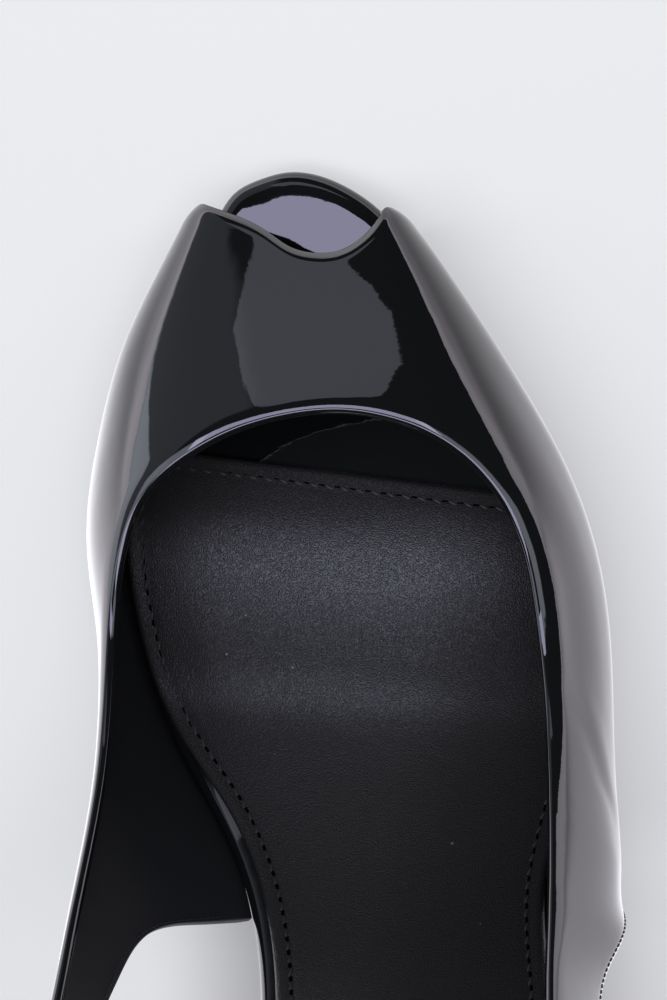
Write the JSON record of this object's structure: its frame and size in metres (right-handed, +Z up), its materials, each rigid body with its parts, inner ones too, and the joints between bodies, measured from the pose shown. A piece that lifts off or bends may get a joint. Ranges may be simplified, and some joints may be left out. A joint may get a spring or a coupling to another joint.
{
  "type": "peep toe pump",
  "caption": "Right-foot peep toe pump with a slender high heel, a V-cut toe opening, open sides and a sling strap round the heel.",
  "frame": {"origin": "on the floor, under the middle of the shoe's bounding box", "axes": "+Z up, +Y towards the toe, +X towards the lateral (little toe) side"},
  "size_m": [0.0855, 0.2149, 0.1497],
  "materials": {
    "patent_leather": "black patent leather with a mirror gloss and a few soft creases",
    "insole_leather": "black patent leather wrapped round a board",
    "sock_leather": "fine-grained satin black leather, padded, with a stitched margin",
    "sole_leather": "smooth black leather, semi-matte",
    "heel_cover": "black patent leather over a moulded heel",
    "top_piece": "matte black hard rubber"
  },
  "bodies": {
    "root": {"outsole": "sole_leather", "insole": "insole_leather", "sock": "sock_leather", "upper": "patent_leather", "heel": "heel_cover", "heel_tip": "top_piece"}
  },
  "joints": []
}
